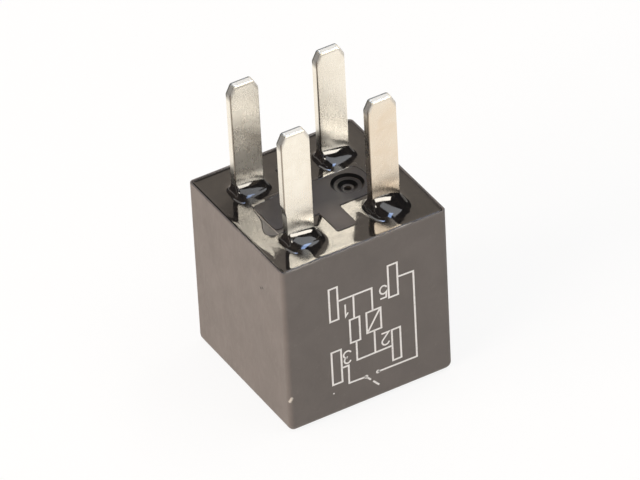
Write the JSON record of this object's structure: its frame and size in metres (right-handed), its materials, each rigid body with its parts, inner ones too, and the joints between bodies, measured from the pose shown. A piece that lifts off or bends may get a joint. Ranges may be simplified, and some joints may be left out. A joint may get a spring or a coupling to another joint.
{
  "type": "automotive relay",
  "caption": "Sealed cube relay with four flat blades, a normally open contact and a hinged armature inside",
  "frame": {"origin": "centre of the cover's closed crown face, on which the relay stands", "axes": "+Z from the crown towards the blades, printed side faces -Y, blades' broad faces face -Y and +Y"},
  "size_m": [0.0164, 0.016, 0.0286],
  "materials": {
    "cover": "fine-grained dark grey moulded plastic",
    "base": "dark grey-brown moulded plastic",
    "resin": "glossy black potting resin",
    "tin_plate": "tin-plated copper alloy, warm silver",
    "magnet_iron": "zinc-plated soft iron",
    "bobbin": "black moulded plastic",
    "copper_wire": "enamelled copper wire",
    "resistor": "lacquered resistor body",
    "tin_wire": "tinned copper wire",
    "spring_leaf": "rolled spring bronze",
    "rivet": "plated steel strip",
    "contact_silver": "silver alloy contact"
  },
  "bodies": {
    "housing": {"cover": "cover", "base": "base", "resin_seal": "resin", "terminal_1": "tin_plate", "terminal_2": "tin_plate", "terminal_3": "tin_plate", "terminal_5": "tin_plate", "yoke": "magnet_iron", "core": "magnet_iron", "bobbin": "bobbin", "coil_winding": "copper_wire", "coil_lead_1": "copper_wire", "coil_lead_2": "copper_wire", "resistor_body": "resistor", "resistor_lead_1": "tin_wire", "resistor_lead_2": "tin_wire", "yoke_rivets": "rivet", "fixed_contact": "contact_silver", "rest_stop": "rivet"},
    "armature": {"armature": "magnet_iron", "contact_spring": "spring_leaf", "armature_rivets": "rivet", "moving_contact": "contact_silver"}
  },
  "joints": [
    {"name": "armature_hinge", "type": "hinge", "parent": "housing", "child": "armature", "pos_m": [-0.0066, 0, 0.0047], "axis": [0, -1, 0], "range_deg": [0, 3.2], "deforming": ["contact_spring"]}
  ]
}
